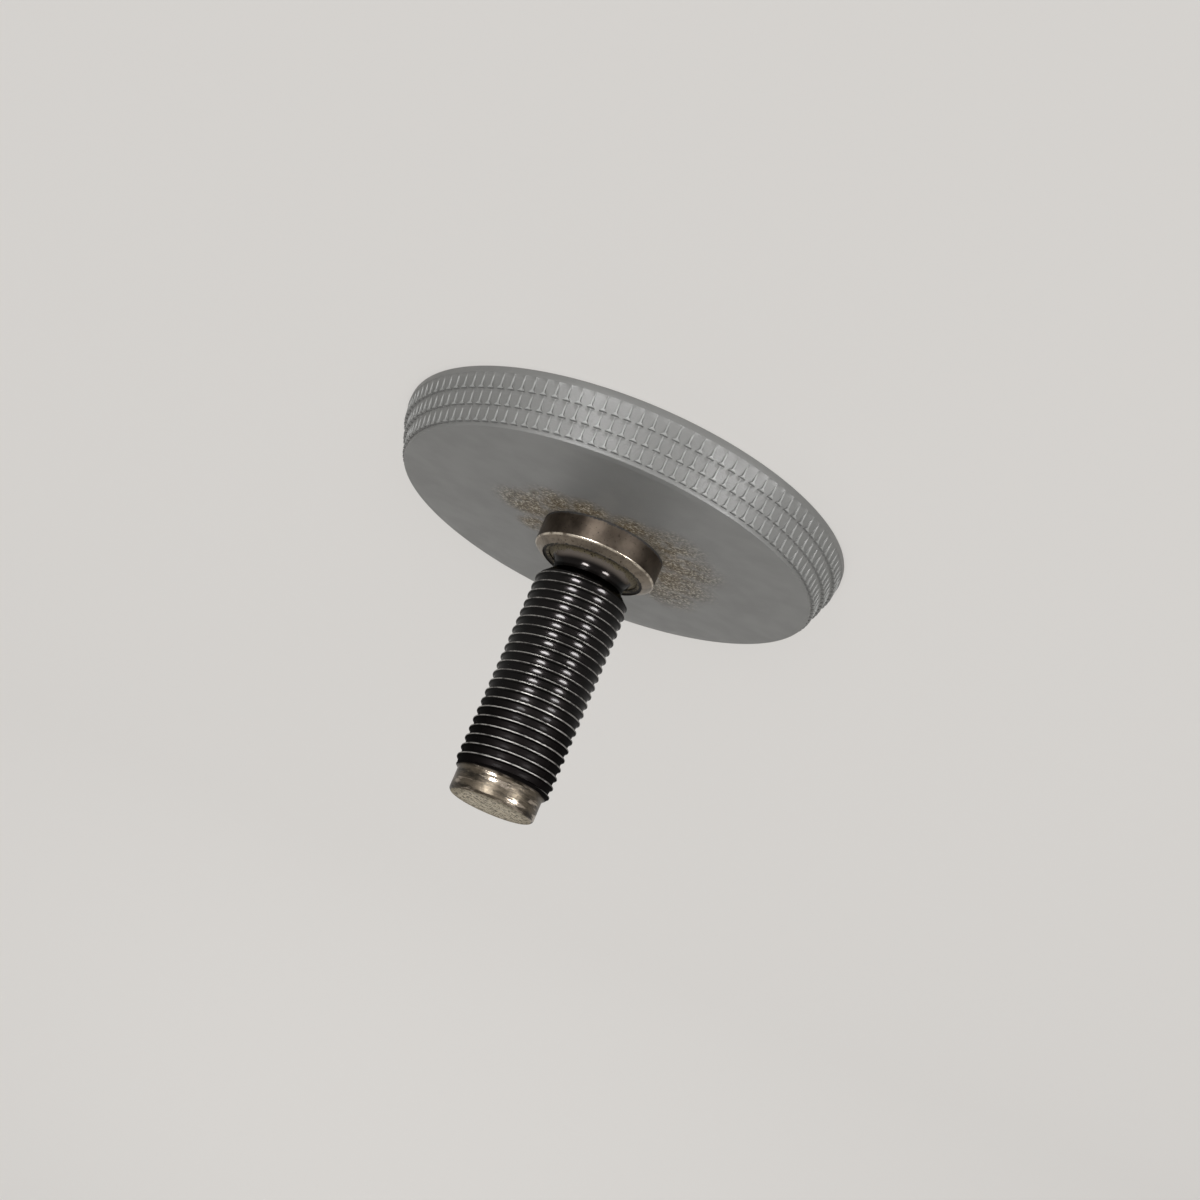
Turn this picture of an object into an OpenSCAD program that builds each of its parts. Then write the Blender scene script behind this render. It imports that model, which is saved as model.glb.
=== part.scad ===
// Leveling screw: a toothed hand wheel moulded round a steel screw and its collar.
// The wheel lies with its back on z = 0 and the screw stands up along +Z.

/* [Wheel] */
// Diameter of the wheel at its back edge
wheel_d = 48; // [40:0.5:60]
// Thickness of the wheel from back to front face
wheel_t = 5.6; // [5:0.1:9]
// Width of the plain band at the back edge
back_band = 0.75; // [0.5:0.05:1.2]
// Width of the plain band at the front edge
front_band = 0.45; // [0.3:0.05:0.8]
// Bevel on the back and front edges
edge_bevel = 0.12; // [0.05:0.01:0.25]

/* [Teeth] */
// Number of teeth round each row
teeth = 124; // [80:1:140]
// Number of rows between the two bands
tooth_rows = 3; // [1:1:4]
// Drop in radius from each row to the next
row_step = 0.57; // [0.3:0.01:0.8]
// Width of the thin ridge that each tooth starts with
ridge_w = 0.12; // [0.06:0.01:0.24]
// Spread of a ridge at its root, on each side
ridge_draft = 0.05; // [0.02:0.01:0.1]
// Width of the foot that each tooth ends in
foot_w = 0.72; // [0.4:0.01:0.76]
// Length over which the ridge widens to its foot
foot_len = 0.41; // [0.2:0.01:0.7]

/* [Collar] */
// Outer diameter of the collar
collar_d = 13; // [12:0.1:16]
// Height of the collar's side above the wheel's face
collar_side = 2.55; // [1.5:0.05:5]
// Rise of the collar's sloping end from its side to its mouth
collar_rise = 0.64; // [0.2:0.02:1]
// Diameter of the collar's open mouth
mouth_d = 10.76; // [10.5:0.02:11.5]
// Depth of the mouth down to the close fit on the screw
mouth_depth = 0.75; // [0.3:0.05:1.5]
// Depth of the collar's seat in the wheel
collar_seat = 1.6; // [1:0.1:2]

/* [Screw] */
// Diameter over the thread's crests
thread_d = 10; // [9:0.1:10.4]
// Pitch of the right-hand thread
pitch = 1; // [0.75:0.25:1.25]
// Depth of the groove between two turns of the thread
thread_depth = 0.61; // [0.3:0.01:0.7]
// Width of the thread's crest
crest_w = 0.13; // [0.06:0.01:0.25]
// Length of the thread at full diameter
thread_len = 20.8; // [12:0.1:40]
// Diameter of the shoulder that fills the collar
shoulder_d = 10.2; // [9.6:0.05:10.4]
// Smallest diameter of the neck
neck_d = 7.5; // [6.8:0.1:8.4]
// Radius of the hollow that runs from the shoulder to the neck
neck_hollow = 1.9; // [1.8:0.05:2.6]
// Height of the neck's narrowest point above the collar's mouth
neck_rise = 1.3; // [1:0.05:2]
// Length of the straight stretch of the neck
neck_land = 0.2; // [0.1:0.05:1]
// Diameter of the plain pilot at the tip
pilot_d = 8.9; // [8.6:0.02:9.2]
// Length of the pilot
pilot_len = 2.35; // [2:0.05:6]
// Width of the tip's chamfer
tip_bevel = 0.4; // [0.1:0.05:0.8]
// Width across the flats of the hexagonal head inside the wheel
head_af = 15; // [14:0.5:18]
// Height of the hexagonal head
head_h = 2.4; // [1.5:0.1:2.8]

/* [Hidden] */
round_fn = 128;
// Depth to which the toothed rim and the bands, or the thread and the shank, run into each other
weld = 0.02;
// Gap between the bottom of the thread's groove and the shank inside it
core_gap = 0.1;
// Points in each turn of the thread
thread_steps = 30;
// Heights from the back of the wheel to the tip of the screw
collar_z = wheel_t - collar_seat;
head_z = collar_z - head_h;
mouth_z = wheel_t + collar_side + collar_rise;
neck_z = mouth_z + neck_rise;
lead_z = neck_z + neck_land;
thread_z = lead_z + (thread_d - neck_d) / 2;
thread_top = thread_z + thread_len;
pilot_z = thread_top + (thread_d - pilot_d) / 2;
tip_z = pilot_z + pilot_len;
// Bottom of the thread's groove, and the solid shank a little inside it
root_r = thread_d / 2 - thread_depth;
core_r = min(root_r, pilot_d / 2) - core_gap;
// Height where the lead cone reaches the groove's bottom and the shank gives way to the thread
core_z = lead_z + root_r - neck_d / 2;
// The thread's rod starts one turn down in the neck and ends one turn up in the pilot
rod_z = lead_z - pitch;
last_step = ceil((pilot_z + weld - rod_z) / pitch * thread_steps) + thread_steps;
rod_top = rod_z + pitch * last_step / thread_steps;
// Toothed rim, row by row from the back
rim_r = wheel_d / 2 - weld;
rim_z = back_band - weld;
row_h = (wheel_t - front_band - rim_z) / tooth_rows;
front_r = wheel_d / 2 - tooth_rows * row_step;

// Radius and height of the line where one row ends and the next begins
function line_r(line) = rim_r - line * row_step;
function line_z(line) = rim_z + line * row_h;

// A point given by its arc length from the middle of a tooth
function rim_point(tooth, arc, radius, height) =
    let (angle = 360 * tooth / teeth + arc / rim_r * 180 / PI)
    [radius * cos(angle), radius * sin(angle), height];

// Four points of a tooth on the line below or above its row
function line_points(line, tooth) =
    [for (arc = [-foot_w / 2, -ridge_w / 2, ridge_w / 2, foot_w / 2])
        rim_point(tooth, arc, line_r(line), line_z(line))];

// Six points of a tooth inside its row: where the ridge starts to widen, the floor
// beside that place, and the end of the foot
function tooth_points(row, tooth) =
    let (
        top = line_r(row),
        heel = line_z(row + 1) - foot_len,
        floor_r = top - row_step * (1 - foot_len / row_h),
        ridge = ridge_w / 2,
        root = ridge_w / 2 + ridge_draft
    )
    [
        rim_point(tooth, -ridge, top, heel),
        rim_point(tooth, ridge, top, heel),
        rim_point(tooth, -root, floor_r, heel),
        rim_point(tooth, root, floor_r, heel),
        rim_point(tooth, -foot_w / 2, top, line_z(row + 1)),
        rim_point(tooth, foot_w / 2, top, line_z(row + 1))
    ];

// Place of each point in the list of all points
function on_line(line, tooth, k) = 4 * (line * teeth + tooth % teeth) + k;
function in_row(row, tooth, k) =
    4 * teeth * (tooth_rows + 1) + 6 * (row * teeth + tooth % teeth) + k;

// Faces of one tooth and of the floor between it and the next tooth
function tooth_faces(row, tooth) =
    let (
        a = [for (k = [0:3]) on_line(row, tooth, k)],
        b = [for (k = [0:3]) on_line(row + 1, tooth, k)],
        next_a = [for (k = [0:1]) on_line(row, tooth + 1, k)],
        next_b = on_line(row + 1, tooth + 1, 0),
        next_root = in_row(row, tooth + 1, 2),
        t = [for (k = [0:5]) in_row(row, tooth, k)]
    )
    [
        // ridge, foot and the foot's end
        [a[1], t[0], t[1], a[2]],
        [t[0], t[4], t[5], t[1]],
        [t[5], t[4], b[0], b[1], b[2], b[3]],
        // sides of the ridge
        [t[0], a[1], t[2]],
        [a[2], t[1], t[3]],
        // sides of the foot
        [t[4], t[0], t[2]],
        [t[4], t[2], b[0]],
        [t[1], t[5], t[3]],
        [t[5], b[3], t[3]],
        // floor up to the next tooth
        [a[2], t[3], a[3]],
        [a[3], t[3], b[3]],
        [a[3], b[3], next_b],
        [a[3], next_b, next_a[0]],
        [next_a[0], next_b, next_root],
        [next_a[0], next_root, next_a[1]]
    ];

// Solid disc whose rim carries every row of teeth
module toothed_disc() {
    rows = [0:tooth_rows - 1];
    around = [0:teeth - 1];
    points = concat(
        [for (line = [0:tooth_rows], tooth = around) each line_points(line, tooth)],
        [for (row = rows, tooth = around) each tooth_points(row, tooth)]
    );
    back = [for (tooth = around, k = [0:3]) on_line(0, tooth, k)];
    front = [for (tooth = around, k = [0:3]) on_line(tooth_rows, teeth - 1 - tooth, 3 - k)];
    sides = [for (row = rows, tooth = around) each tooth_faces(row, tooth)];
    polyhedron(points, concat(sides, [back, front]));
}

// Plain disc with one bevelled edge at its outer end
module band(radius, width) {
    cylinder(h = width - edge_bevel, r = radius, $fn = round_fn);
    translate([0, 0, width - edge_bevel])
        cylinder(h = edge_bevel, r1 = radius, r2 = radius - edge_bevel, $fn = round_fn);
}

// Hexagonal head that keys the screw into the wheel
module hex_head() {
    translate([0, 0, head_z])
        cylinder(h = head_h, d = head_af / cos(30), $fn = 6);
}

module knurled_wheel() {
    color("#8f9192") difference() {
        union() {
            toothed_disc();
            translate([0, 0, back_band]) mirror([0, 0, 1]) band(wheel_d / 2, back_band);
            translate([0, 0, wheel_t - 2 * front_band]) band(front_r, 2 * front_band);
        }
        hex_head();
        translate([0, 0, collar_z])
            cylinder(h = 2 * collar_seat, d = collar_d, $fn = round_fn);
    }
}

module collar() {
    color("#4d3c30") rotate_extrude($fn = round_fn)
        polygon([
            [shoulder_d / 2, collar_z],
            [collar_d / 2, collar_z],
            [collar_d / 2, wheel_t + collar_side],
            [mouth_d / 2, mouth_z],
            [mouth_d / 2, mouth_z - mouth_depth],
            [shoulder_d / 2, mouth_z - mouth_depth]
        ]);
}

// Half section of the screw without its thread
module shank_section() {
    difference() {
        polygon([
            [0, collar_z],
            [shoulder_d / 2, collar_z],
            [shoulder_d / 2, neck_z],
            [neck_d / 2, neck_z],
            [neck_d / 2, lead_z],
            [root_r, core_z],
            [core_r, core_z],
            [core_r, pilot_z],
            [pilot_d / 2, pilot_z],
            [pilot_d / 2, tip_z - tip_bevel],
            [pilot_d / 2 - tip_bevel, tip_z],
            [0, tip_z]
        ]);
        intersection() {
            translate([neck_d / 2 + neck_hollow, neck_z]) circle(r = neck_hollow, $fn = round_fn);
            translate([0, neck_z - neck_hollow]) square([thread_d, neck_hollow]);
        }
    }
}

// Greatest radius at a height: the lead cone, the crest, the end cone and the pilot
function limit_r(z) =
    let (
        lead = neck_d / 2 + max(0, z - lead_z),
        end = max(pilot_d / 2, thread_d / 2 + thread_top - z),
        inside = z < core_z || z > pilot_z ? weld : 0
    )
    min(lead, thread_d / 2, end) - inside;

// Three points of the thread at one step: the groove's bottom and the two edges of the crest
function thread_points(step) =
    let (
        angle = 360 * step / thread_steps,
        low = rod_z + pitch * step / thread_steps,
        middle = low + pitch / 2,
        heights = [low, middle - crest_w / 2, middle + crest_w / 2]
    )
    [for (k = [0:2])
        let (radius = min(k == 0 ? root_r : thread_d / 2, limit_r(heights[k])))
        [radius * cos(angle), radius * sin(angle), heights[k]]];

// Place of a point in the list of all points
function on_thread(step, k) = 3 * step + k;

// Closed fan from a centre point round a loop of points
function fan(centre, loop) =
    [for (i = [0:len(loop) - 1]) [centre, loop[i], loop[(i + 1) % len(loop)]]];

// Rod with the helical thread on it; its ends lie inside the neck and the pilot
module thread_rod() {
    points = [
        for (step = [0:last_step]) each thread_points(step),
        [0, 0, rod_z],
        [0, 0, rod_top]
    ];
    ridge = [for (step = [0:last_step - 1], k = [0:1]) each [
        [on_thread(step, k), on_thread(step, k + 1), on_thread(step + 1, k + 1)],
        [on_thread(step, k), on_thread(step + 1, k + 1), on_thread(step + 1, k)]
    ]];
    // from each crest down to the groove's bottom one turn on
    far_side = [for (step = [0:last_step - thread_steps - 1]) each [
        [on_thread(step, 2), on_thread(step + thread_steps, 0), on_thread(step + thread_steps + 1, 0)],
        [on_thread(step, 2), on_thread(step + thread_steps + 1, 0), on_thread(step + 1, 2)]
    ]];
    low_loop = [for (step = [0:thread_steps]) on_thread(step, 0), on_thread(0, 2), on_thread(0, 1)];
    top_loop = [
        for (step = [0:thread_steps]) on_thread(last_step - step, 2),
        on_thread(last_step, 0),
        on_thread(last_step, 1)
    ];
    low_centre = on_thread(last_step + 1, 0);
    ends = concat(fan(low_centre, low_loop), fan(low_centre + 1, top_loop));
    polyhedron(points, concat(ridge, far_side, ends));
}

module screw() {
    color("#34302d") {
        rotate_extrude($fn = round_fn) shank_section();
        thread_rod();
        hex_head();
    }
}

knurled_wheel();
collar();
screw();
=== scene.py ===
import math
from functools import partial

import bpy
from mathutils import Matrix, Vector


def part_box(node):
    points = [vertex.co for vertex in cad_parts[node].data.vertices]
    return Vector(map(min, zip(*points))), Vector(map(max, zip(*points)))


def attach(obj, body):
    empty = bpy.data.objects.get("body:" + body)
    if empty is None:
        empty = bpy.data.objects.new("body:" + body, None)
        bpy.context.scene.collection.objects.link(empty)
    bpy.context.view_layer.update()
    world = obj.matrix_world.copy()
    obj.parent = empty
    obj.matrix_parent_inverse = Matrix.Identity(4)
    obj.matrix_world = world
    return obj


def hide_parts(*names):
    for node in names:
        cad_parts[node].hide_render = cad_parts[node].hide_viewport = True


# Looks for a leveling screw: a toothed plastic hand wheel, its steel collar and its threaded shank.
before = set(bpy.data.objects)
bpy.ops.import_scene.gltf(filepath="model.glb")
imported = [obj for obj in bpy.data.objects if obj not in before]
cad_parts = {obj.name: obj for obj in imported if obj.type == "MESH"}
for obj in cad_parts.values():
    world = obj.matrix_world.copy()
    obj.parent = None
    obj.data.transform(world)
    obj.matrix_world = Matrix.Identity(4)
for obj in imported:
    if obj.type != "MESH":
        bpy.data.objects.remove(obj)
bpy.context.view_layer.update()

mm = 0.001
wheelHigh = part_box("knurled_wheel")[1]
collarLow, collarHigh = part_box("collar")
screwLow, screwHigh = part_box("screw")
faceZ = wheelHigh.z / mm  # front face of the wheel
mouthZ = collarHigh.z / mm  # top of the collar
tipZ = screwHigh.z / mm
headZ = screwLow.z / mm  # back of the hidden head
seatZ = collarLow.z / mm  # where the collar stands on the head
mergeWithin = 0.0005  # points nearer to each other than this become one, in mm
sameHeight = 0.01  # points within this of a height lie at it, in mm
overlap = 0.001  # how far a joined or cut solid reaches past the face where it starts, in mm


def deselectAll():
    bpy.ops.object.select_all(action="DESELECT")


def activate(piece):
    deselectAll()
    piece.select_set(True)
    bpy.context.view_layer.objects.active = piece


def editAll(piece, mode="VERT"):
    activate(piece)
    bpy.ops.object.mode_set(mode="EDIT")
    bpy.ops.mesh.select_mode(type=mode)
    bpy.ops.mesh.select_all(action="SELECT")


def endEdit():
    bpy.ops.object.mode_set(mode="OBJECT")


def tidyMesh(piece):
    editAll(piece)
    bpy.ops.mesh.remove_doubles(threshold=mergeWithin * mm)
    bpy.ops.mesh.dissolve_degenerate(threshold=mergeWithin * mm)
    bpy.ops.mesh.normals_make_consistent(inside=False)
    endEdit()


def applyModifier(piece, kind, **settings):
    activate(piece)
    modifier = piece.modifiers.new(kind.title(), kind)
    for key, value in settings.items():
        setattr(modifier, key, value)
    bpy.ops.object.modifier_apply(modifier=modifier.name)


def smooth(piece, degrees):
    activate(piece)
    bpy.ops.object.shade_smooth_by_angle(angle=math.radians(degrees))


# draws a chain of edges through (radius, height) points in mm, in the XZ plane
def drawOutline(name, points):
    deselectAll()
    bpy.ops.mesh.primitive_plane_add(size=mm, location=(0, 0, 0))
    piece = bpy.context.object
    piece.name = piece.data.name = name
    bpy.ops.object.mode_set(mode="EDIT")
    bpy.ops.mesh.select_all(action="SELECT")
    bpy.ops.mesh.merge(type="CENTER")
    bpy.ops.transform.translate(value=(points[0][0] * mm, 0, points[0][1] * mm))
    for (r0, z0), (r1, z1) in zip(points, points[1:]):
        step = ((r1 - r0) * mm, 0, (z1 - z0) * mm)
        bpy.ops.mesh.extrude_vertices_move(TRANSFORM_OT_translate={"value": step})
    endEdit()
    return piece


# turns an outline round the Z axis into a closed solid
def turn(name, points, steps):
    piece = drawOutline(name, points)
    editAll(piece)
    bpy.ops.mesh.spin(steps=steps, angle=2 * math.pi, center=(0, 0, 0), axis=(0, 0, 1))
    endEdit()
    tidyMesh(piece)
    return piece


# points along an arc in the outline's plane, angles in degrees
def arcPoints(centre, radius, start, end, count):
    angles = [math.radians(start + (end - start) * i / count) for i in range(count + 1)]
    return [(centre[0] + radius * math.cos(a), centre[1] + radius * math.sin(a)) for a in angles]


def cutWith(piece, cutter, operation="DIFFERENCE"):
    applyModifier(piece, "BOOLEAN", operation=operation, solver="EXACT", object=cutter)
    bpy.data.objects.remove(cutter, do_unlink=True)


def addPrism(sides, radius, low, high, turnBy=0.0):
    deselectAll()
    bpy.ops.mesh.primitive_cylinder_add(
        vertices=sides,
        radius=radius * mm,
        depth=(high - low) * mm,
        location=(0, 0, (low + high) / 2 * mm),
        rotation=(0, 0, turnBy),
    )
    piece = bpy.context.object
    bpy.ops.object.transform_apply(location=True, rotation=True, scale=True)
    return piece


wheel = {
    "radius": wheelHigh.x / mm,
    "backBand": 0.75,  # height of the plain band behind the teeth
    "frontBand": 0.45,
    "bevel": 0.12,
    "bevelMiddle": 0.3,  # share of the bevel by which its middle point lies in from the corner
    "endRing": 1.2,  # width of the ring that borders each end face
    "teeth": 124,
    "rows": 3,
    "rowStep": 0.57,  # drop in radius from row to row
    "inset": 0.02,  # the rim starts this far inside the back band
    "shelf": (0.005, 0.04),  # its edge lies this far above the rim's start, and one more ring this far below
    "ridge": 0.17,  # width of a tooth's thin ridge
    "ridgeFall": 0.24,  # how far the ridge falls towards its foot
    "foot": 0.72,  # width of its foot
    "footLength": 0.3,
    "footCurve": 1.5,  # 1 widens the foot evenly, and more leaves it narrow for longer
    "round": 0.035,  # softened edge of a moulded tooth
    "roundShare": 0.6,  # and the most of a ridge's half width that it takes
    "draft": 0.05,  # lean of a wall that is as high as the row's step
    "leastDraft": 0.004,
    # shares of a row at which lines of points cross the ridge and the foot
    "ridgeLines": (0.04, 0.3, 0.55),
    "footLines": (0.9, 0.965),
    "heelLine": 0.05,  # one more line lies this share past the heel
    "boreSteps": 128,
    "boreReach": 1,  # the collar's pocket is cut from this far above the face
    "smoothing": 38,
}


# height at which the rim's teeth start, height of one row and radius of the first
def rimSizes(w):
    rimZ = w["backBand"] - w["inset"]
    return rimZ, (faceZ - w["frontBand"] - rimZ) / w["rows"], w["radius"] - w["inset"]


def modelToothColumn(w):
    rimZ, rowHeight, rimRadius = rimSizes(w)
    heel = 1 - w["footLength"] / rowHeight  # where the ridge starts to widen
    shares = [*w["ridgeLines"], heel, heel + w["heelLine"], *w["footLines"], 1.0]
    # each line's row, its share of the row, and whether it lies under the foot's end
    lines = [(0, 0.0, False)]
    for row in range(w["rows"]):
        lines += [(row, share, False) for share in shares] + [(row, 1.0, True)]
    columns = 8  # four to each side of the ridge's middle
    deselectAll()
    bpy.ops.mesh.primitive_grid_add(
        x_subdivisions=columns - 1, y_subdivisions=len(lines) - 1, size=1, location=(0, 0, 0)
    )
    piece = bpy.context.object
    piece.name = piece.data.name = "knurledWheel"
    cell = 2 * math.pi * rimRadius / w["teeth"]
    for vertex in piece.data.vertices:
        column = round((vertex.co.x + 0.5) * (columns - 1))
        row, share, under = lines[round((vertex.co.y + 0.5) * (len(lines) - 1))]
        side = -1 if column < columns / 2 else 1
        rank = column - columns // 2 if side > 0 else columns // 2 - 1 - column  # 0 is nearest the middle
        start = rimRadius - row * w["rowStep"]
        top = start - share * w["ridgeFall"]
        floor = start - share * w["rowStep"]
        depth = top - floor
        widen = max(0.0, (share - heel) / (1 - heel)) ** w["footCurve"]
        half = (w["ridge"] + (w["foot"] - w["ridge"]) * widen) / 2
        rounding = min(w["round"], half * w["roundShare"])
        wallFoot = half + w["draft"] * depth / w["rowStep"] + w["leastDraft"]
        arc = [half - rounding, half, wallFoot, cell / 2][rank]
        radius = [top, top - min(rounding, depth / 2), floor, floor][rank]
        if share == 1.0 and not under and rank < 2:  # the foot's end is softened too
            radius = min(radius, top - w["round"])
        if under or share == 0.0:
            radius = floor
        height = rimZ + (row + share) * rowHeight
        angle = side * arc / rimRadius - math.pi / 2
        vertex.co = (radius * mm * math.cos(angle), radius * mm * math.sin(angle), height * mm)
    return piece


def repeatRound(piece, count):
    deselectAll()
    bpy.ops.object.empty_add(location=(0, 0, 0), rotation=(0, 0, 2 * math.pi / count))
    pivot = bpy.context.object
    applyModifier(
        piece, "ARRAY", count=count, use_relative_offset=False, use_object_offset=True,
        offset_object=pivot, use_merge_vertices=True, use_merge_vertices_cap=True,
        merge_threshold=2 * mergeWithin * mm,
    )
    bpy.data.objects.remove(pivot, do_unlink=True)


# grows the rim's open loop at a height into rings through (radius, height) points, then closes it
def growRings(piece, startHeight, startRadius, points):
    editAll(piece, "EDGE")
    bpy.ops.mesh.select_all(action="DESELECT")
    bpy.ops.mesh.select_non_manifold()
    endEdit()
    for edge in piece.data.edges:
        heights = [piece.data.vertices[i].co.z / mm for i in edge.vertices]
        edge.select = edge.select and max(abs(h - startHeight) for h in heights) < sameHeight
    for vertex in piece.data.vertices:
        vertex.select = vertex.select and abs(vertex.co.z / mm - startHeight) < sameHeight
    for polygon in piece.data.polygons:
        polygon.select = False
    bpy.ops.object.mode_set(mode="EDIT")
    radius, height = startRadius, startHeight
    for newRadius, newHeight in points:
        factor = newRadius / radius
        bpy.ops.mesh.extrude_edges_move(
            TRANSFORM_OT_translate={"value": (0, 0, (newHeight - height) * mm)}
        )
        bpy.ops.transform.resize(value=(factor, factor, 1), center_override=(0, 0, 0))
        radius, height = newRadius, newHeight
    bpy.ops.mesh.edge_face_add()
    endEdit()


# the hidden hexagon that keeps the screw from turning in the moulding
def addHead(s, high):
    return addPrism(6, s["headFlats"] / 2 / math.cos(math.pi / 6), headZ, high, math.pi / 6)


def modelWheel(w, c, s):
    piece = modelToothColumn(w)
    repeatRound(piece, w["teeth"])
    tidyMesh(piece)
    rimZ, _, rimRadius = rimSizes(w)
    over, under = w["shelf"]
    r, b, ring = w["radius"], w["bevel"], w["endRing"]
    middle = w["bevelMiddle"] * b
    growRings(piece, rimZ, rimRadius, [
        (r, rimZ + over), (r, rimZ - under), (r, b), (r - middle, middle), (r - b, 0), (r - ring, 0),
    ])
    frontZ = faceZ - w["frontBand"]
    frontRadius = rimRadius - w["rows"] * w["rowStep"]
    f = frontRadius + w["inset"]
    growRings(piece, frontZ, frontRadius, [
        (f, frontZ + w["inset"]), (f, faceZ - b), (f - middle, faceZ - middle), (f - b, faceZ),
        (f - ring, faceZ),
    ])
    tidyMesh(piece)
    cutWith(piece, addHead(s, seatZ))
    cutWith(piece, addPrism(w["boreSteps"], c["radius"], seatZ - overlap, faceZ + w["boreReach"]))
    tidyMesh(piece)
    smooth(piece, w["smoothing"])
    return piece


collar = {
    "radius": collarHigh.x / mm,
    "side": 2.55,  # height of the side above the wheel
    "mouth": 5.38,  # radius of the open mouth
    "edge": 0.16,  # rounding between side and sloping end
    "edgeSteps": 7,
    "lip": 0.05,  # rounding of the mouth
    "lipPoints": ((1.5, 0.7), (0.5, 0.1), (0, 1)),  # out from the mouth and down from its top, in lips
    "dirtDepth": 0.14,  # packed dirt fills the mouth to this far below its rim
    "dirtRadius": 4.85,  # and creeps in to here over the screw's flare
    "dirtFalls": (1, 2, 3.5),  # how many of those depths down it is at the mouth, there and at the bore
    "steps": 160,
    "smoothing": 30,
}


def modelCollar(c, s):
    shoulder = faceZ + c["side"]
    slope = math.atan2(mouthZ - shoulder, c["radius"] - c["mouth"])
    bend = math.pi / 2 - slope
    bore, e, lip = s["shoulder"], c["edge"], c["lip"]
    centre = (c["radius"] - e, shoulder - e * math.tan(bend / 2))
    points = [(bore, seatZ), (c["radius"], seatZ), (c["radius"], faceZ)]
    points += arcPoints(centre, e, 0, math.degrees(bend), c["edgeSteps"])
    points += [(c["mouth"] + out * lip, mouthZ - down * lip) for out, down in c["lipPoints"]]
    dirtRadii = (c["mouth"], c["dirtRadius"], bore)
    points += [(r, mouthZ - fall * c["dirtDepth"]) for r, fall in zip(dirtRadii, c["dirtFalls"])]
    points += [(bore, seatZ)]
    piece = turn("turnedCollar", points, c["steps"])
    smooth(piece, c["smoothing"])
    return piece


screw = {
    "crest": 5.0,  # the thread's largest radius
    "crestWidth": 0.14,
    "crestBreak": 0.012,  # softening of the crest's edges
    "breakStart": 0.05,  # which starts this far below the crest
    "pitch": 1.0,
    "flankAngle": 30,
    "threadLength": 20.8,
    "cutterRise": 0.06,  # the groove's cutter stands this far outside the thread
    "cutterSpread": 0.04,  # and is this much wider there
    "runOut": 0.5,  # turns over which the groove runs out at its end
    "runOutRise": 1.4,  # how far its cutter climbs there, in depths of the oil
    "runOutPast": 0.1,  # and how far past the pilot's start it is drawn
    "oilDepth": 0.26,  # the oil's edge lies this far below the crest
    "oilHollow": 2.2,  # radius of its hollow
    "oilLean": 8,  # the hollow leans towards the tip by this many degrees
    "oilSteps": 8,
    "shoulder": 5.1,  # radius of the part that the collar sits on
    "neck": 3.75,
    "neckHollow": 1.9,  # radius of the flare's curve
    "neckRise": 1.3,  # height of the waist above the collar
    "neckLand": 0.2,  # straight stretch before the thread
    "neckSteps": 14,
    "pilot": 4.45,
    "tipBevel": 0.4,
    "tipSteps": 6,
    "tipRing": 1.2,  # width of the tip's outer ring
    "headFlats": 15.0,  # the hidden hexagon, across its flats
    "steps": 144,
    "stepsPerTurn": 96,
    "smoothing": 32,
}


# heights of the neck's waist, of the thread's lead-in, start and end, and of the pilot's start
def screwHeights(s):
    neckZ = mouthZ + s["neckRise"]
    leadZ = neckZ + s["neckLand"]
    threadZ = leadZ + s["crest"] - s["neck"]
    threadTop = threadZ + s["threadLength"]
    pilotZ = threadTop + s["crest"] - s["pilot"]
    return neckZ, leadZ, threadZ, threadTop, pilotZ


# the helical groove's cutter; oil fills its bottom to a shallow hollow
def modelGroove(s, low, high):
    crest, pitch, hollow = s["crest"], s["pitch"], s["oilHollow"]
    perDepth = math.tan(math.radians(s["flankAngle"]))  # how fast a flank closes in
    edge = pitch / 2 - s["crestWidth"] / 2
    half = edge - s["oilDepth"] * perDepth
    flank = [
        (crest - s["breakStart"], edge - s["breakStart"] * perDepth),
        (crest - s["crestBreak"], edge + s["crestBreak"]),
        (crest + s["cutterRise"], edge + s["cutterSpread"]),
    ]
    lean = math.radians(s["oilLean"])
    centre = (crest - s["oilDepth"] + hollow * math.cos(lean), hollow * math.sin(lean))
    towards = 180 + s["oilLean"]
    spread = math.degrees(math.asin(half / hollow))
    oil = arcPoints(centre, hollow, towards - spread, towards + spread, s["oilSteps"])
    outline = oil + [(r, -h) for r, h in flank] + list(reversed(flank))
    deselectAll()
    bpy.ops.mesh.primitive_circle_add(
        vertices=len(outline), radius=mm, fill_type="NOTHING", location=(0, 0, 0)
    )
    piece = bpy.context.object
    for vertex, (r, h) in zip(piece.data.vertices, outline):
        vertex.co = (r * mm, 0, (low + h) * mm)
    turns = math.ceil((high - low) / pitch)
    applyModifier(
        piece, "SCREW", angle=2 * math.pi, screw_offset=pitch * mm, iterations=turns,
        steps=s["stepsPerTurn"], render_steps=s["stepsPerTurn"], use_merge_vertices=False,
    )
    total = len(piece.data.vertices) // len(outline)
    fade = s["stepsPerTurn"] * s["runOut"]
    for vertex in piece.data.vertices:
        left = total - 1 - vertex.index // len(outline)
        if left < fade:
            lift = 1 + (1 - left / fade) * s["runOutRise"] * s["oilDepth"] / crest
            vertex.co.x *= lift
            vertex.co.y *= lift
    editAll(piece)
    bpy.ops.mesh.fill_holes(sides=0)
    bpy.ops.mesh.normals_make_consistent(inside=False)
    endEdit()
    return piece


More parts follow.
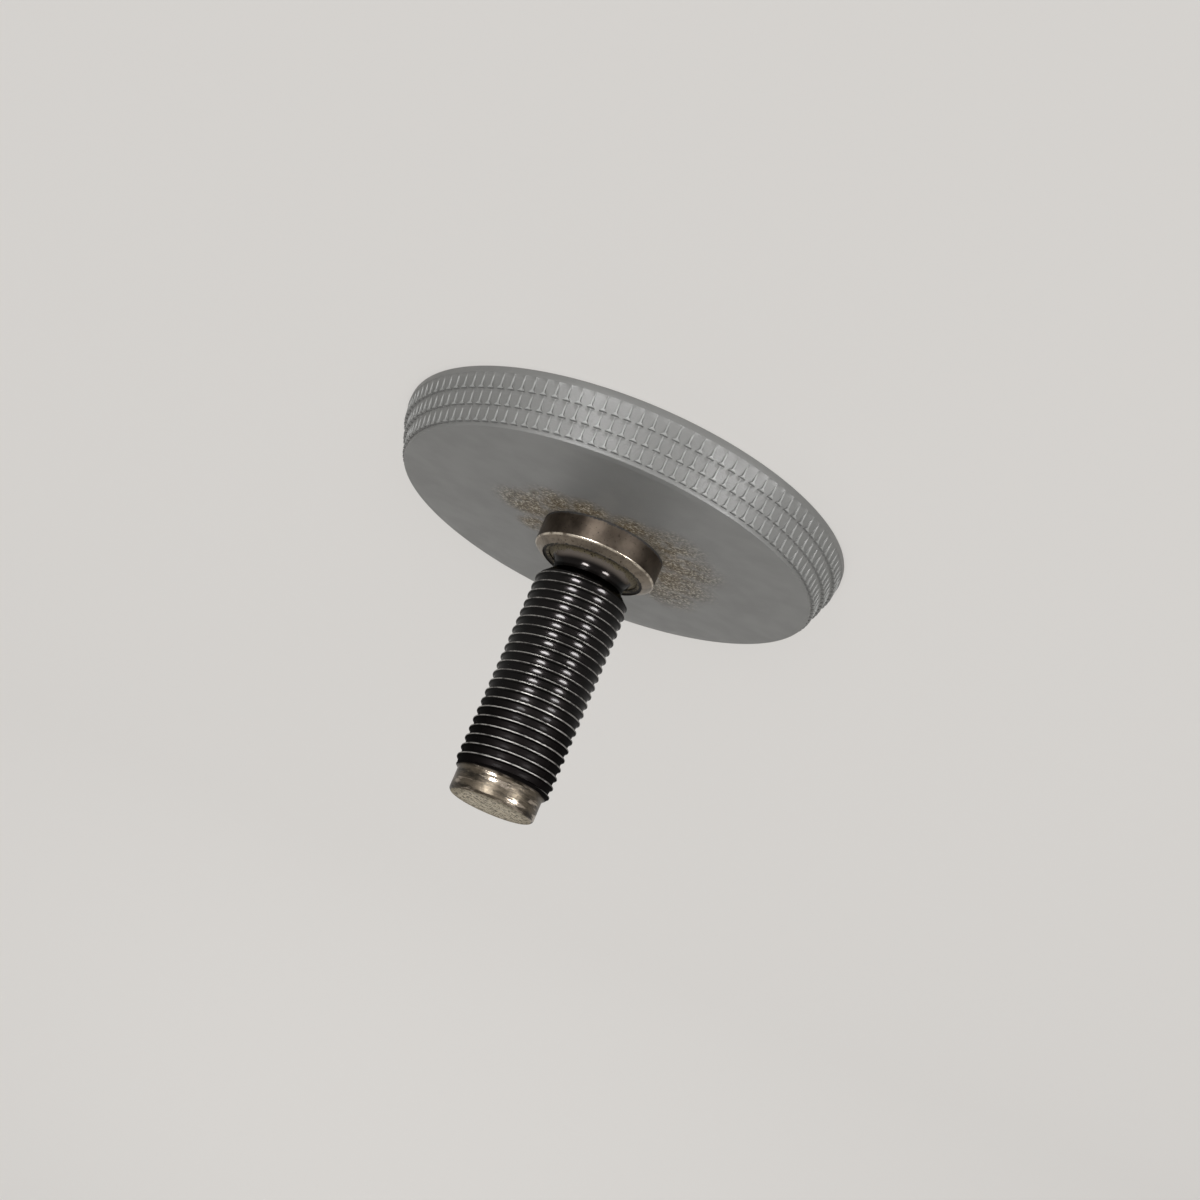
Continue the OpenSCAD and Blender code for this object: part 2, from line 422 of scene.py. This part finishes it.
def modelScrew(s):
    neckZ, leadZ, threadZ, threadTop, pilotZ = screwHeights(s)
    crest, neck, pilot, bevel = s["crest"], s["neck"], s["pilot"], s["tipBevel"]
    hollow = s["neckHollow"]
    centre = (neck + hollow, neckZ)
    flareStart = 180 + math.degrees(math.acos((centre[0] - s["shoulder"]) / hollow))
    points = [(0, seatZ), (s["shoulder"], seatZ)]
    points += arcPoints(centre, hollow, flareStart, 180, s["neckSteps"])
    points += [(neck, leadZ), (crest, threadZ), (crest, threadTop), (pilot, pilotZ)]
    points += arcPoints((pilot - bevel, tipZ - bevel), bevel, 0, 90, s["tipSteps"])
    points += [(pilot - s["tipRing"], tipZ), (0, tipZ)]
    piece = turn("threadedScrew", points, s["steps"])
    cutWith(piece, modelGroove(s, leadZ - s["pitch"], pilotZ + s["runOutPast"]))
    cutWith(piece, addHead(s, seatZ + overlap / 2), "UNION")
    tidyMesh(piece)
    smooth(piece, s["smoothing"])
    return piece


# linear colour from an sRGB hex value
def linear(code):
    values = [int(code[i:i + 2], 16) / 255 for i in (1, 3, 5)]
    return [v / 12.92 if v <= 0.04045 else ((v + 0.055) / 1.055) ** 2.4 for v in values] + [1.0]


# settings that many nodes share
multiply = {"operation": "MULTIPLY", "use_clamp": True}
add = {"operation": "ADD", "use_clamp": True}
subtract = {"operation": "SUBTRACT", "use_clamp": True}
larger = {"operation": "MAXIMUM", "use_clamp": True}
multiplyAdd = {"operation": "MULTIPLY_ADD"}
soft = {"interpolation_type": "SMOOTHSTEP"}
colours = {"data_type": "RGBA"}


# adds a node, sets its own settings, and fills its inputs, in their order or by name, with values or links
def addNode(tree, kind, settings, *inputs, **named):
    node = tree.nodes.new("ShaderNode" + kind)
    for key, value in settings.items():
        setattr(node, key, value)
    pairs = list(zip([socket for socket in node.inputs if socket.enabled], inputs))
    pairs += [(node.inputs[name.replace("_", " ")], value) for name, value in named.items()]
    for socket, value in pairs:
        if isinstance(value, bpy.types.Node):
            value = next(output for output in value.outputs if output.enabled)
        if isinstance(value, bpy.types.NodeSocket):
            tree.links.new(value, socket)
        else:
            socket.default_value = value
    return node


# an empty material and the function that puts a node in it
def startMaterial(name):
    material = bpy.data.materials.new(name)
    material.use_nodes = True
    material.node_tree.nodes.clear()
    return material, partial(addNode, material.node_tree)


# a noise's scale, detail and roughness, from its size in mm, its detail and its roughness
def pattern(numbers):
    size, detail, rough = numbers
    return 1 / (size * mm), detail, rough


# heights or radii in metres, from distances in mm that are measured from a base
def band(base, distances):
    return [(base + distance) * mm for distance in distances]


def distanceFromAxis(node, axes):
    flat = node("CombineXYZ", {}, axes.outputs["X"], axes.outputs["Y"])
    return node("VectorMath", {"operation": "LENGTH"}, flat)


plastic = {
    "colour": "#81817f",
    "mottle": "#7c7c7a",
    # pale paint on the teeth's ridges and feet: a painted highlight
    "ridgeHighlight": "#9fa09e",
    "oil": "#6f6048",  # thin dried oil on the face
    "darkSpeck": "#2a241b",
    "paleSpeck": "#ddd6c6",
    "darkShare": 0.75,  # how strongly the specks show
    "paleShare": 0.6,
    "ior": 1.52,
    "roughness": (0.42, 0.5),
    "oilRoughness": 0.25,  # more, where the oil has dried
    "bumpHeight": 0.03,
    "bumpStrength": 0.8,
    # each pattern's size in mm, detail and roughness, and the values of it between which it fades
    "mottles": (6, 3, 0.5),
    "mottleFade": (0.35, 0.7),
    "sheen": (3, 3, 0.5),
    "sheenFade": (0.3, 0.7),
    "patches": (1.6, 5, 0.75),
    "patchFade": (0.34, 0.56),
    "patchLeast": 0.35,
    "specks": (0.3, 3, 0.7),
    "darkFade": (0.46, 0.38),
    "paleFade": (0.53, 0.61),
    "grain": (0.16, 2, 0.5),  # spark-eroded mould grain, drawn a little coarse so that it shows
    "ridgeFade": (0.09, 0.03),  # depths below a ridge between which its painted highlight sets in
    "rowFade": (0.1, 0.4),  # shares of a row over which it sets in
    "rowEdge": 0.01,  # shares of a row over which the whole rim's painted highlight starts and stops
    "oilFade": (15, 8),  # distances from the origin between which the oil grows strong
    "oilFar": 0.3,  # its strength beyond
    "stainCore": 0.3,  # share of a stain's reach where it is full
    # place and reach of each patch of oil and grit
    "stains": [
        ((8.8, -2.0), 4.4), ((6.2, -5.6), 4.0), ((7.2, 2.8), 2.8), ((2.6, -7.2), 3.2), ((-2.0, -7.4), 3.2),
        ((-6.2, -7.0), 4.8), ((-8.6, -3.0), 5.2), ((-8.8, 2.6), 5.2), ((-8.4, 7.2), 4.6), ((0.0, 0.0), 9.4),
    ],
}


# painted highlight: 1 on the ridges and feet of the teeth, painted paler where the light catches them, and 0
# on the floors between them
def paintedRidgeHighlight(node, place, m, w):
    rimZ, rowHeight, rimRadius = (size * mm for size in rimSizes(w))
    axes = node("SeparateXYZ", {}, place)
    rows = node("Math", multiplyAdd, axes.outputs["Z"], 1 / rowHeight, -rimZ / rowHeight)
    share = node("Math", {"operation": "FRACT"}, rows)
    row = node("Math", {"operation": "FLOOR"}, rows)
    # the ridge's own radius at this height
    start = node("Math", multiplyAdd, row, -w["rowStep"] * mm, rimRadius)
    ridge = node("Math", multiplyAdd, share, -w["ridgeFall"] * mm, start)
    below = node("Math", {"operation": "SUBTRACT"}, ridge, distanceFromAxis(node, axes))
    high = node("MapRange", soft, below, *band(0, m["ridgeFade"]))
    rubbed = node("Math", multiply, high, node("MapRange", soft, share, *m["rowFade"]))
    edge = m["rowEdge"]
    fromFirst = node("MapRange", soft, rows, -edge, edge)
    toLast = node("MapRange", soft, rows, w["rows"] + edge, w["rows"] - edge)
    return node("Math", multiply, rubbed, node("Math", multiply, fromFirst, toLast))


# where oil and grit were spilled: a few overlapping spots, broken into patches
def stainedPlaces(node, place, m):
    spots = []
    for (x, y), radius in m["stains"]:
        centre = (x * mm, y * mm, faceZ * mm)
        away = node("VectorMath", {"operation": "DISTANCE"}, place, centre)
        spots.append(node("MapRange", soft, away, radius * mm, m["stainCore"] * radius * mm))
    reach = spots[0]
    for spot in spots[1:]:
        reach = node("Math", larger, reach, spot)
    patches = node("TexNoise", {}, place, *pattern(m["patches"]))
    patchy = node("MapRange", soft, patches, *m["patchFade"], m["patchLeast"], 1.0)
    return node("Math", multiply, reach, patchy)


# moulded ABS: a satin grey with a fine mould grain, oil and grit spilled round the collar, and a highlight
# painted on the teeth's ridges and feet
def mouldedPlastic(m, w):
    material, node = startMaterial("mouldedPlastic")
    place = node("TexCoord", {}).outputs["Object"]
    mottles = node("TexNoise", {}, place, *pattern(m["mottles"]))
    mottled = node("MapRange", soft, mottles, *m["mottleFade"])
    colour = node("Mix", colours, mottled, linear(m["colour"]), linear(m["mottle"]))
    stain = stainedPlaces(node, place, m)
    fromMiddle = node("VectorMath", {"operation": "LENGTH"}, place)
    close = node("MapRange", soft, fromMiddle, *band(0, m["oilFade"]), m["oilFar"], 1.0)
    oily = node("Math", multiply, stain, close)
    colour = node("Mix", colours, oily, colour, linear(m["oil"]))
    specks = node("TexNoise", {}, place, *pattern(m["specks"]))
    dark = node("Math", multiply, stain, node("MapRange", soft, specks, *m["darkFade"]))
    dark = node("Math", multiply, dark, m["darkShare"])
    colour = node("Mix", colours, dark, colour, linear(m["darkSpeck"]))
    pale = node("Math", multiply, stain, node("MapRange", soft, specks, *m["paleFade"]))
    pale = node("Math", multiply, pale, m["paleShare"])
    colour = node("Mix", colours, pale, colour, linear(m["paleSpeck"]))
    # painted highlight on the ridges and feet of the teeth
    colour = node("Mix", colours, paintedRidgeHighlight(node, place, m, w), colour, linear(m["ridgeHighlight"]))
    sheen = node("TexNoise", {}, place, *pattern(m["sheen"]))
    rough = node("MapRange", soft, sheen, *m["sheenFade"], *m["roughness"])
    rough = node("Math", add, rough, node("Math", multiply, stain, m["oilRoughness"]))
    grain = node("TexNoise", {}, place, *pattern(m["grain"]))
    bump = node("Bump", {}, Height=grain, Distance=m["bumpHeight"] * mm, Strength=m["bumpStrength"])
    shader = node("BsdfPrincipled", {}, Base_Color=colour, Roughness=rough, IOR=m["ior"], Normal=bump)
    node("OutputMaterial", {}, shader)
    return material


collarSteel = {
    "colour": "#534a41",
    "dark": "#373029",
    "worn": "#81776a",
    "bare": "#d0c6b6",  # pale steel along the edge: a painted highlight, where the steel is also rubbed bare
    "dirt": "#6d6450",
    # black for dirt and pits, and for painted shade in the mouth's gap
    "blackDirtAndShade": "#16120e",
    "metallic": 0.85,
    "roughness": (0.32, 0.46),
    "edgePolish": 0.14,  # less roughness, where the edge is bare
    "dirtRoughness": 0.4,  # more, where dirt is packed
    "bumpHeight": 0.012,
    "bumpStrength": 0.3,
    # each pattern's size in mm, detail and roughness, and the values of it between which it fades
    "blotches": (4, 4, 0.6),
    "blotchFade": (0.34, 0.66),
    "scuffs": (1.4, 4, 0.65),
    "scuffFade": (0.3, 0.6),
    "scuffLeast": 0.45,
    "chips": (0.8, 4, 0.7),
    "chipFade": (0.36, 0.54),
    "grit": (0.3, 3, 0.7),
    "pitFade": (0.4, 0.33),
    "pitShare": 0.8,
    "soilFade": (0.58, 0.42),
    "sheen": (1.5, 4, 0.6),
    "sheenFade": (0.3, 0.7),
    "turning": (0.09, 2, 0.6),  # spacing of the turning lines
    "turningStretch": (0.02, 0.02, 1),  # and how they are drawn out round the axis
    # distances from the edge between side and end, where wear and the painted highlight of bare steel start
    # and stop
    "wornFrom": (-0.16, -0.04),
    "edgeHighlightFrom": (-0.14, -0.06),
    "edgeHighlightTo": (0.12, 0.04),
    # distances from the mouth's radius, for the dirt inside it and for the black line of dirt and painted
    # shade along it
    "insideFrom": (0.02, -0.02),
    "rimOut": (0.14, 0.07),
    "rimIn": (-0.26, -0.16),
    "footDirt": (0.26, 0.17),  # heights above the wheel to which dirt climbs the side
    "dirtWander": 0.5,  # how far the edges of the dirt stray
}


# turned mild steel, browned by old oil: a dull brown side, a paler worn end, a highlight painted along its
# edge, and black dirt in its corners with painted shade in the mouth's gap
def brownedSteel(m, c):
    material, node = startMaterial("brownedTurnedSteel")
    place = node("TexCoord", {}).outputs["Object"]
    axes = node("SeparateXYZ", {}, place)
    height = axes.outputs["Z"]
    radius = distanceFromAxis(node, axes)
    blotches = node("TexNoise", {}, place, *pattern(m["blotches"]))
    blotched = node("MapRange", soft, blotches, *m["blotchFade"])
    colour = node("Mix", colours, blotched, linear(m["dark"]), linear(m["colour"]))
    # the paler end, and a highlight painted along its edge, where the steel is rubbed bare
    edgeZ = faceZ + c["side"]
    scuffs = node("TexNoise", {}, place, *pattern(m["scuffs"]))
    scuffed = node("MapRange", soft, scuffs, *m["scuffFade"], m["scuffLeast"], 1.0)
    end = node("MapRange", soft, height, *band(edgeZ, m["wornFrom"]))
    worn = node("Math", multiply, end, scuffed)
    colour = node("Mix", colours, worn, colour, linear(m["worn"]))
    aboveSide = node("MapRange", soft, height, *band(edgeZ, m["edgeHighlightFrom"]))
    belowEnd = node("MapRange", soft, height, *band(edgeZ, m["edgeHighlightTo"]))
    edge = node("Math", multiply, aboveSide, belowEnd)
    chips = node("TexNoise", {}, place, *pattern(m["chips"]))
    edge = node("Math", multiply, edge, node("MapRange", soft, chips, *m["chipFade"]))
    # pale paint along the edge: a painted highlight
    bare = node("Math", multiply, edge, scuffed)
    colour = node("Mix", colours, bare, colour, linear(m["bare"]))
    grit = node("TexNoise", {}, place, *pattern(m["grit"]))
    pits = node("Math", multiply, node("MapRange", soft, grit, *m["pitFade"]), m["pitShare"])
    colour = node("Mix", colours, pits, colour, linear(m["blackDirtAndShade"]))
    inside = node("MapRange", soft, radius, *band(c["mouth"], m["insideFrom"]))
    soilMix = node("MapRange", soft, grit, *m["soilFade"])
    soil = node("Mix", colours, soilMix, linear(m["dirt"]), linear(m["blackDirtAndShade"]))
    colour = node("Mix", colours, inside, colour, soil)
    # dirt sits where the side meets the wheel, and the black line along the mouth's rim is dirt with painted
    # shade in the gap there
    wander = m["dirtWander"]
    stray = node("Math", multiplyAdd, grit, wander * mm, -wander / 2 * mm)
    rimPlace = node("Math", {}, radius, stray)
    rimOut = node("MapRange", soft, rimPlace, *band(c["mouth"], m["rimOut"]))
    rimIn = node("MapRange", soft, rimPlace, *band(c["mouth"], m["rimIn"]))
    # black along the mouth's rim: dirt, with painted shade in the gap
    rim = node("Math", multiply, rimOut, rimIn)
    foot = node("MapRange", soft, node("Math", {}, height, stray), *band(faceZ, m["footDirt"]))
    packed = node("Math", larger, rim, foot)
    colour = node("Mix", colours, packed, colour, linear(m["blackDirtAndShade"]))
    soiled = node("Math", larger, inside, packed)
    metal = node("MapRange", soft, soiled, 0, 1, m["metallic"], 0)
    sheen = node("TexNoise", {}, place, *pattern(m["sheen"]))
    rough = node("MapRange", soft, sheen, *m["sheenFade"], *m["roughness"])
    rough = node("Math", subtract, rough, node("Math", multiply, edge, m["edgePolish"]))
    rough = node("Math", add, rough, node("Math", multiply, soiled, m["dirtRoughness"]))
    drawnOut = node("Mapping", {}, place, Scale=m["turningStretch"])
    lines = node("TexNoise", {}, drawnOut, *pattern(m["turning"]))
    relief = node("Math", add, lines, node("Math", multiply, soiled, grit))
    bump = node("Bump", {}, Height=relief, Distance=m["bumpHeight"] * mm, Strength=m["bumpStrength"])
    shader = node("BsdfPrincipled", {}, Base_Color=colour, Metallic=metal, Roughness=rough, Normal=bump)
    node("OutputMaterial", {}, shader)
    return material


screwSteel = {
    "oxide": "#121010",
    # pale crests: worn bare steel, painted paler too as the highlight lines along the thread
    "crest": "#8f8d8a",
    # painted reflection: the neck dark and the flare paler
    "neck": "#141110",
    "flare": "#6f6862",
    "dirt": "#6d6450",
    "pilot": "#5a5247",
    "pilotDark": "#2c2822",
    "tip": "#c2b7a1",
    "bare": "#9a9084",
    "edgeTint": "#343434",  # the oxide stays dark even at a glancing angle
    "pit": "#443d30",
    "metallic": 0.9,
    "roughness": (0.18, 0.3),
    "neckPolish": 0.08,  # less roughness, at the neck and where the pilot is rubbed
    "rubPolish": 0.16,
    "pilotRoughness": 0.14,  # more, on the pilot, in dirt and where the oil has dried
    "dirtRoughness": 0.45,
    "dryRoughness": 0.3,
    "tipDullness": 0.75,  # dirt in the tip's pits takes this much of its metal away
    "drying": (22, 28),  # heights between which the oil thins out towards the tip
    "oilWeight": (0.22, 0.01),  # weight of the oil's coat below and above them
    "oilRoughness": 0.12,
    "bumpHeight": 0.03,
    "bumpStrength": 0.7,
    # each pattern's size in mm, detail and roughness, and the values of it between which it fades
    "wear": (0.9, 4, 0.7),
    "wearFade": (0.34, 0.6),
    "wearLeast": 0.3,
    "sheenFade": (0.3, 0.7),
    "grit": (0.22, 3, 0.7),
    "soilFade": (0.46, 0.36),
    "pitFade": (0.4, 0.32),
    "pitShare": 0.8,
    "streaks": (1.3, 4, 0.7),
    "streakStretch": (0.4, 0.4, 1.8),
    "streakFade": (0.36, 0.6),
    "rubs": (1.1, 3, 0.6),
    "rubStretch": (0.35, 0.35, 2.2),
    "rubFade": (0.54, 0.64),
    "pocks": (0.42, 4, 0.75),
    "pockFade": (0.52, 0.42),
    "turning": (0.12, 2, 0.6),
    "turningStretch": (0.03, 0.03, 1),
    "crestFrom": (-0.03, -0.005),  # distances from the crest's radius
    # distances from the neck's waist, where the polish, the flare's paler painted reflection and the dirt on
    # it start
    "neckTo": (0.6, 0.2),
    "flareTo": (-0.6, -1.15),
    "dirtTo": (-0.75, -0.95),
    "dirtWander": 0.9,  # how far the edge of the dirt strays
    "pilotFrom": (-0.3, -0.05),  # distances from the pilot's start and from the tip
    "tipFrom": (-0.08, -0.02),
    # radii between which the tip's dirty margin sets in, its strength, and how far its edge strays
    "margin": (3.3, 4.4),
    "marginShare": 0.6,
    "marginWander": 0.8,
}


# the pilot, browned and streaked, with rubbed patches, and its pale pitted tip
def pilotColour(node, place, height, radius, wear, grit, m):
    drawnOut = node("Mapping", {}, place, Scale=m["streakStretch"])
    streaks = node("TexNoise", {}, drawnOut, *pattern(m["streaks"]))
    streaked = node("MapRange", soft, streaks, *m["streakFade"])
    brown = node("Mix", colours, streaked, linear(m["pilotDark"]), linear(m["pilot"]))
    pits = node("Math", multiply, node("MapRange", soft, grit, *m["pitFade"]), m["pitShare"])
    brown = node("Mix", colours, pits, brown, linear(m["pilotDark"]))
    drawnOut = node("Mapping", {}, place, Scale=m["rubStretch"])
    rubs = node("TexNoise", {}, drawnOut, *pattern(m["rubs"]))
    rubbed = node("MapRange", soft, rubs, *m["rubFade"])
    brown = node("Mix", colours, rubbed, brown, linear(m["bare"]))
    tipPart = node("MapRange", soft, height, *band(tipZ, m["tipFrom"]))
    pocks = node("TexNoise", {}, place, *pattern(m["pocks"]))
    pitted = node("MapRange", soft, pocks, *m["pockFade"])
    tip = node("Mix", colours, pitted, linear(m["tip"]), linear(m["pit"]))
    stray = node("Math", add, radius, node("Math", multiply, wear, m["marginWander"] * mm))
    margin = node("MapRange", soft, stray, *band(0, m["margin"]), 0, m["marginShare"])
    tip = node("Mix", colours, margin, tip, linear(m["dirt"]))
    return node("Mix", colours, tipPart, brown, tip), rubbed, tipPart


# black oxide steel, wet with oil: dark flanks, bright crests that are worn bare and painted as highlights, a
# neck with a high polish painted dark with a paler flare as a painted reflection, and a worn pilot
def oiledSteel(m, s):
    material, node = startMaterial("oiledBlackOxideSteel")
    place = node("TexCoord", {}).outputs["Object"]
    axes = node("SeparateXYZ", {}, place)
    height = axes.outputs["Z"]
    radius = distanceFromAxis(node, axes)
    neckZ, *_, pilotZ = screwHeights(s)
    wear = node("TexNoise", {}, place, *pattern(m["wear"]))
    grit = node("TexNoise", {}, place, *pattern(m["grit"]))
    # pale crest lines: worn crests, with a painted highlight
    crestWearAndHighlight = node(
        "Math", multiply,
        node("MapRange", soft, radius, *band(s["crest"], m["crestFrom"])),
        node("MapRange", soft, wear, *m["wearFade"], m["wearLeast"], 1.0),
    )
    colour = node("Mix", colours, crestWearAndHighlight, linear(m["oxide"]), linear(m["crest"]))
    # the neck painted dark and its flare paler, as a painted reflection, and the dirt that has settled on it
    neckPart = node("MapRange", soft, height, *band(neckZ, m["neckTo"]))
    paleReflectionPart = node("MapRange", soft, height, *band(neckZ, m["flareTo"]))
    neck = node("Mix", colours, paleReflectionPart, linear(m["neck"]), linear(m["flare"]))
    colour = node("Mix", colours, neckPart, colour, neck)
    stray = node("Math", multiplyAdd, wear, m["dirtWander"] * mm, height)
    dirtPart = node("MapRange", soft, stray, *band(neckZ, m["dirtTo"]))
    soilMix = node("MapRange", soft, grit, *m["soilFade"])
    soil = node("Mix", colours, soilMix, linear(m["dirt"]), linear(m["neck"]))
    colour = node("Mix", colours, dirtPart, colour, soil)
    pilotPart = node("MapRange", soft, height, *band(pilotZ, m["pilotFrom"]))
    brown, rubbed, tipPart = pilotColour(node, place, height, radius, wear, grit, m)
    colour = node("Mix", colours, pilotPart, colour, brown)
    shiny = node("Math", larger, crestWearAndHighlight, pilotPart)
    tint = node("Mix", colours, shiny, linear(m["edgeTint"]), (1, 1, 1, 1))
    dull = node("Math", larger, dirtPart, node("Math", multiply, tipPart, m["tipDullness"]))
    metal = node("MapRange", soft, dull, 0, 1, m["metallic"], 0)
    rough = node("MapRange", soft, wear, *m["sheenFade"], *m["roughness"])
    rough = node("Math", subtract, rough, node("Math", multiply, neckPart, m["neckPolish"]))
    rough = node("Math", add, rough, node("Math", multiply, pilotPart, m["pilotRoughness"]))
    bright = node("Math", multiply, pilotPart, rubbed)
    rough = node("Math", subtract, rough, node("Math", multiply, bright, m["rubPolish"]))
    rough = node("Math", add, rough, node("Math", multiply, dull, m["dirtRoughness"]))
    dry = node("MapRange", soft, height, *band(0, m["drying"]), 0, m["dryRoughness"])
    rough = node("Math", add, rough, node("Math", subtract, dry, pilotPart))
    oily = node("Math", subtract, 1.0, node("Math", larger, pilotPart, dirtPart))
    wet = node("MapRange", soft, height, *band(0, m["drying"]), *m["oilWeight"])
    drawnOut = node("Mapping", {}, place, Scale=m["turningStretch"])
    lines = node("TexNoise", {}, drawnOut, *pattern(m["turning"]))
    pits = node("Math", multiply, node("Math", larger, tipPart, dirtPart), grit)
    relief = node("Math", add, node("Math", multiply, lines, pilotPart), pits)
    bump = node("Bump", {}, Height=relief, Distance=m["bumpHeight"] * mm, Strength=m["bumpStrength"])
    shader = node(
        "BsdfPrincipled", {},
        Base_Color=colour, Specular_Tint=tint, Metallic=metal, Roughness=rough, Normal=bump,
        Coat_Weight=node("Math", multiply, oily, wet), Coat_Roughness=m["oilRoughness"],
    )
    node("OutputMaterial", {}, shader)
    return material


def dress(piece, material, node):
    piece.data.materials.clear()
    piece.data.materials.append(material)
    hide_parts(node)
    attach(piece, "root")


stage = {
    "floor": "#c8c5c1",
    "floorRoughness": 0.9,
    "floorSpecular": 0.1,
    "seen": "#f6f3ef",  # light of its own that the camera and reflections see in the floor
    "seenShare": 0.55,  # and its share of what they see
    "seenWorld": "#cfccc8",  # and what they see past it
    "world": 0.18,  # the grey that lights everything else
    "floorSize": 3000,
    "backdropRadius": 300,
    "backdropStart": 350,
    "backdropSteps": 12,
    "smoothing": 60,
    "cameraPlace": (0.0, -166.928, 64.688),
    "cameraAim": (-1.968, -0.023, 11.382),
    "cameraRoll": -157.0036,
    "lens": 51.742,
    "sensor": 36,
    "clip": (5, 20000),  # nearest and farthest that the camera sees
    "lampAim": 12,  # height that the lamps point at
}


# 1 for rays from the camera, off a glossy surface or through a clear one
def raysThatSee(node):
    path = node("LightPath", {})
    seen = node("Math", larger, path.outputs["Is Camera Ray"], path.outputs["Is Glossy Ray"])
    return node("Math", larger, seen, path.outputs["Is Transmission Ray"])


def paintedBoard(g):
    material, node = startMaterial("palePaintedBoard")
    board = node(
        "BsdfPrincipled", {}, Base_Color=linear(g["floor"]), Roughness=g["floorRoughness"],
        Specular_IOR_Level=g["floorSpecular"],
    )
    glow = node("Emission", {}, linear(g["seen"]), 1.0)
    share = node("Math", multiply, raysThatSee(node), g["seenShare"])
    node("OutputMaterial", {}, node("MixShader", {}, share, board, glow))
    return material


def buildStage(g):
    deselectAll()
    bpy.ops.mesh.primitive_plane_add(size=g["floorSize"] * mm, location=(0, 0, 0))
    floor = bpy.context.object
    floor.name = floor.data.name = "paleFloor"
    editAll(floor, "EDGE")
    bpy.ops.mesh.select_all(action="DESELECT")
    endEdit()
    for vertex in floor.data.vertices:
        vertex.select = vertex.co.y > 0
        if vertex.select:
            vertex.co.y = g["backdropStart"] * mm
    for edge in floor.data.edges:
        edge.select = all(floor.data.vertices[i].select for i in edge.vertices)
    bpy.ops.object.mode_set(mode="EDIT")
    steps = g["backdropSteps"]
    for i in range(steps):
        a0, a1 = (math.pi / 2 * j / steps for j in (i, i + 1))
        rise = (math.cos(a0) - math.cos(a1)) * g["backdropRadius"] * mm
        run = (math.sin(a1) - math.sin(a0)) * g["backdropRadius"] * mm
        bpy.ops.mesh.extrude_edges_move(TRANSFORM_OT_translate={"value": (0, run, rise)})
    bpy.ops.mesh.extrude_edges_move(TRANSFORM_OT_translate={"value": (0, 0, g["floorSize"] / 2 * mm)})
    endEdit()
    smooth(floor, g["smoothing"])
    floor.data.materials.append(paintedBoard(g))


# each lamp: name, bearing round the screw from the camera's side, elevation, distance, size, power in watts
lamps = [
    ("keyLeft", -24, 2, 420, (150, 95), 2.4),
    ("keyRight", 43, 2, 420, (150, 95), 2.0),
    ("frontSoft", 0, 8, 900, (840, 280), 5.6),
    ("overhead", 0, 88, 520, (520, 520), 0.82),
    ("farSide", 180, 35, 600, (400, 300), 0.4),
]


def buildLamps(g):
    for name, bearing, elevation, distance, (width, depth), power in lamps:
        b, e = math.radians(bearing), math.radians(elevation)
        away = Vector((-math.sin(b) * math.cos(e), -math.cos(b) * math.cos(e), math.sin(e)))
        data = bpy.data.lights.new(name, "AREA")
        data.shape = "ELLIPSE"
        data.size, data.size_y = width * mm, depth * mm
        data.energy = power
        lamp = bpy.data.objects.new(name, data)
        bpy.context.scene.collection.objects.link(lamp)
        # the key lamps only make the oil's highlights, and the soft ones only light the surfaces
        lamp.visible_glossy = name.startswith("key")
        lamp.visible_diffuse = not name.startswith("key")
        lamp.location = Vector((0, 0, g["lampAim"] * mm)) + away * distance * mm
        lamp.rotation_euler = (-away).to_track_quat("-Z", "Y").to_euler()


def buildCamera(g):
    data = bpy.data.cameras.new("camera")
    data.lens = g["lens"]
    data.sensor_width = g["sensor"]
    data.clip_start, data.clip_end = (distance * mm for distance in g["clip"])
    camera = bpy.data.objects.new("camera", data)
    bpy.context.scene.collection.objects.link(camera)
    place = Vector(g["cameraPlace"]) * mm
    aim = Vector(g["cameraAim"]) * mm
    facing = (aim - place).to_track_quat("-Z", "Y").to_matrix()
    roll = Matrix.Rotation(math.radians(g["cameraRoll"]), 3, "Z")
    camera.matrix_world = Matrix.Translation(place) @ (facing @ roll).to_4x4()
    bpy.context.scene.camera = camera


def lightWorld(g):
    world = bpy.context.scene.world or bpy.data.worlds.new("world")
    bpy.context.scene.world = world
    world.use_nodes = True
    world.node_tree.nodes.clear()
    node = partial(addNode, world.node_tree)
    light = [g["world"]] * 3 + [1.0]
    colour = node("Mix", colours, raysThatSee(node), light, linear(g["seenWorld"]))
    node("OutputWorld", {}, node("Background", {}, colour, 1.0))


buildCamera(stage)
print("camera placed")
wheelPiece = modelWheel(wheel, collar, screw)
dress(wheelPiece, mouldedPlastic(plastic, wheel), "knurled_wheel")
print("wheel modelled:", len(wheelPiece.data.polygons), "faces")
collarPiece = modelCollar(collar, screw)
dress(collarPiece, brownedSteel(collarSteel, collar), "collar")
print("collar modelled:", len(collarPiece.data.polygons), "faces")
screwPiece = modelScrew(screw)
dress(screwPiece, oiledSteel(screwSteel, screw), "screw")
print("screw modelled:", len(screwPiece.data.polygons), "faces")
buildStage(stage)
buildLamps(stage)
lightWorld(stage)
bpy.context.scene.view_settings.view_transform = "Standard"
print("stage lit")
